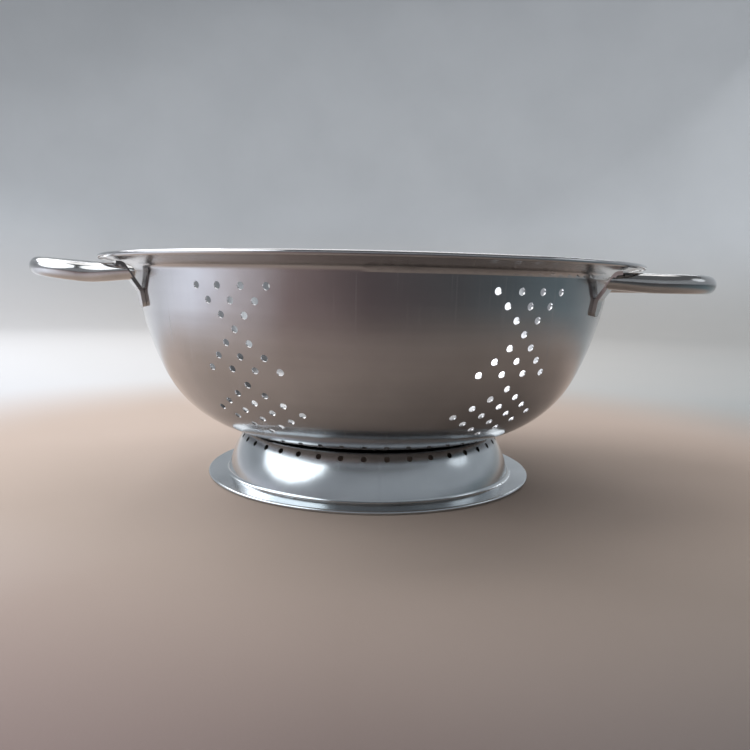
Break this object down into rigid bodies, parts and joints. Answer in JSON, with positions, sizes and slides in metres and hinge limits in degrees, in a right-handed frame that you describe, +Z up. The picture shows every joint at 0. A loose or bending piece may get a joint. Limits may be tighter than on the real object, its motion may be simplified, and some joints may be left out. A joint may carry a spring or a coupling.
{
  "type": "footed colander",
  "caption": "Footed steel colander: a perforated bowl with a wide flared rim, on a spun foot ring, with two bent tube handles.",
  "frame": {"origin": "on the table under the middle of the foot", "axes": "+Z up through the middle of the bowl, handles along +X and -X"},
  "size_m": [0.334, 0.28, 0.1132],
  "materials": {
    "bowl_steel": "bright satin stainless steel with fine lines round the bowl",
    "foot_steel": "mirror-polished stainless steel with faint spinning lines",
    "handle_steel": "mirror-polished stainless steel tube"
  },
  "bodies": {
    "root": {"bowl": "bowl_steel", "foot_ring": "foot_steel", "handle_left": "handle_steel", "handle_right": "handle_steel"}
  },
  "joints": []
}
